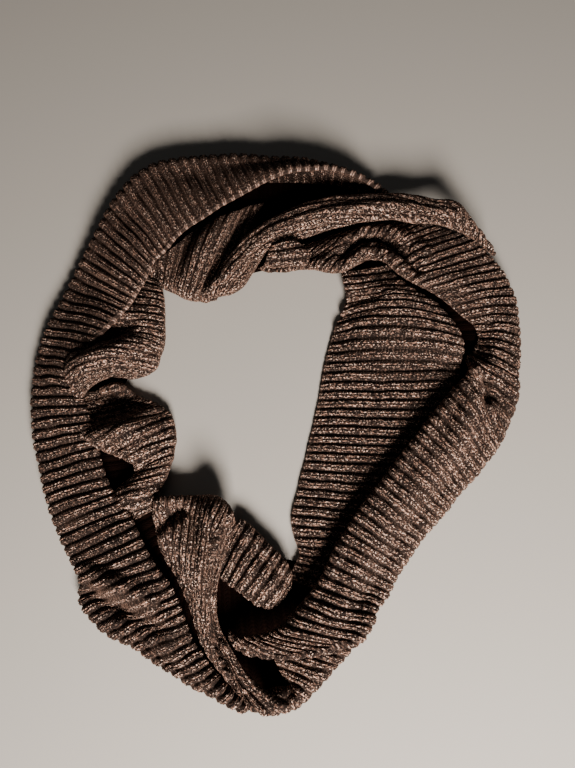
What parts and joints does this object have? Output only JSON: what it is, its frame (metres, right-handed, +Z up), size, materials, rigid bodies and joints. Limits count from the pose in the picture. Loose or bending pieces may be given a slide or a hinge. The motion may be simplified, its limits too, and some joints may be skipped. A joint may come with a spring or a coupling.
{
  "type": "infinity scarf",
  "caption": "Chunky rib-knit loop scarf dropped on a flat surface in an open ring, turned over, rolled and folded.",
  "frame": {"origin": "middle of the ring's box, on the surface that the scarf rests on", "axes": "+Z up out of the surface, +Y towards the far side of the ring, +X to the right"},
  "size_m": [0.4526, 0.5009, 0.0395],
  "materials": {
    "rib_knit": "brown heather chunky rib knit, dull and slightly hairy",
    "inner_knit": "the same brown knit in the hidden layers"
  },
  "bodies": {
    "root": {"left_band": "rib_knit", "upper_lobe": "rib_knit", "lower_lobe": "rib_knit", "centre_tent": "rib_knit", "tent_lobe": "rib_knit", "right_band": "rib_knit", "bottom_under_layer": "rib_knit", "right_inner_panel": "rib_knit", "top_roll": "rib_knit", "turned_corner": "rib_knit", "upper_left_folds": "rib_knit", "hidden_layers": "inner_knit"}
  },
  "joints": []
}
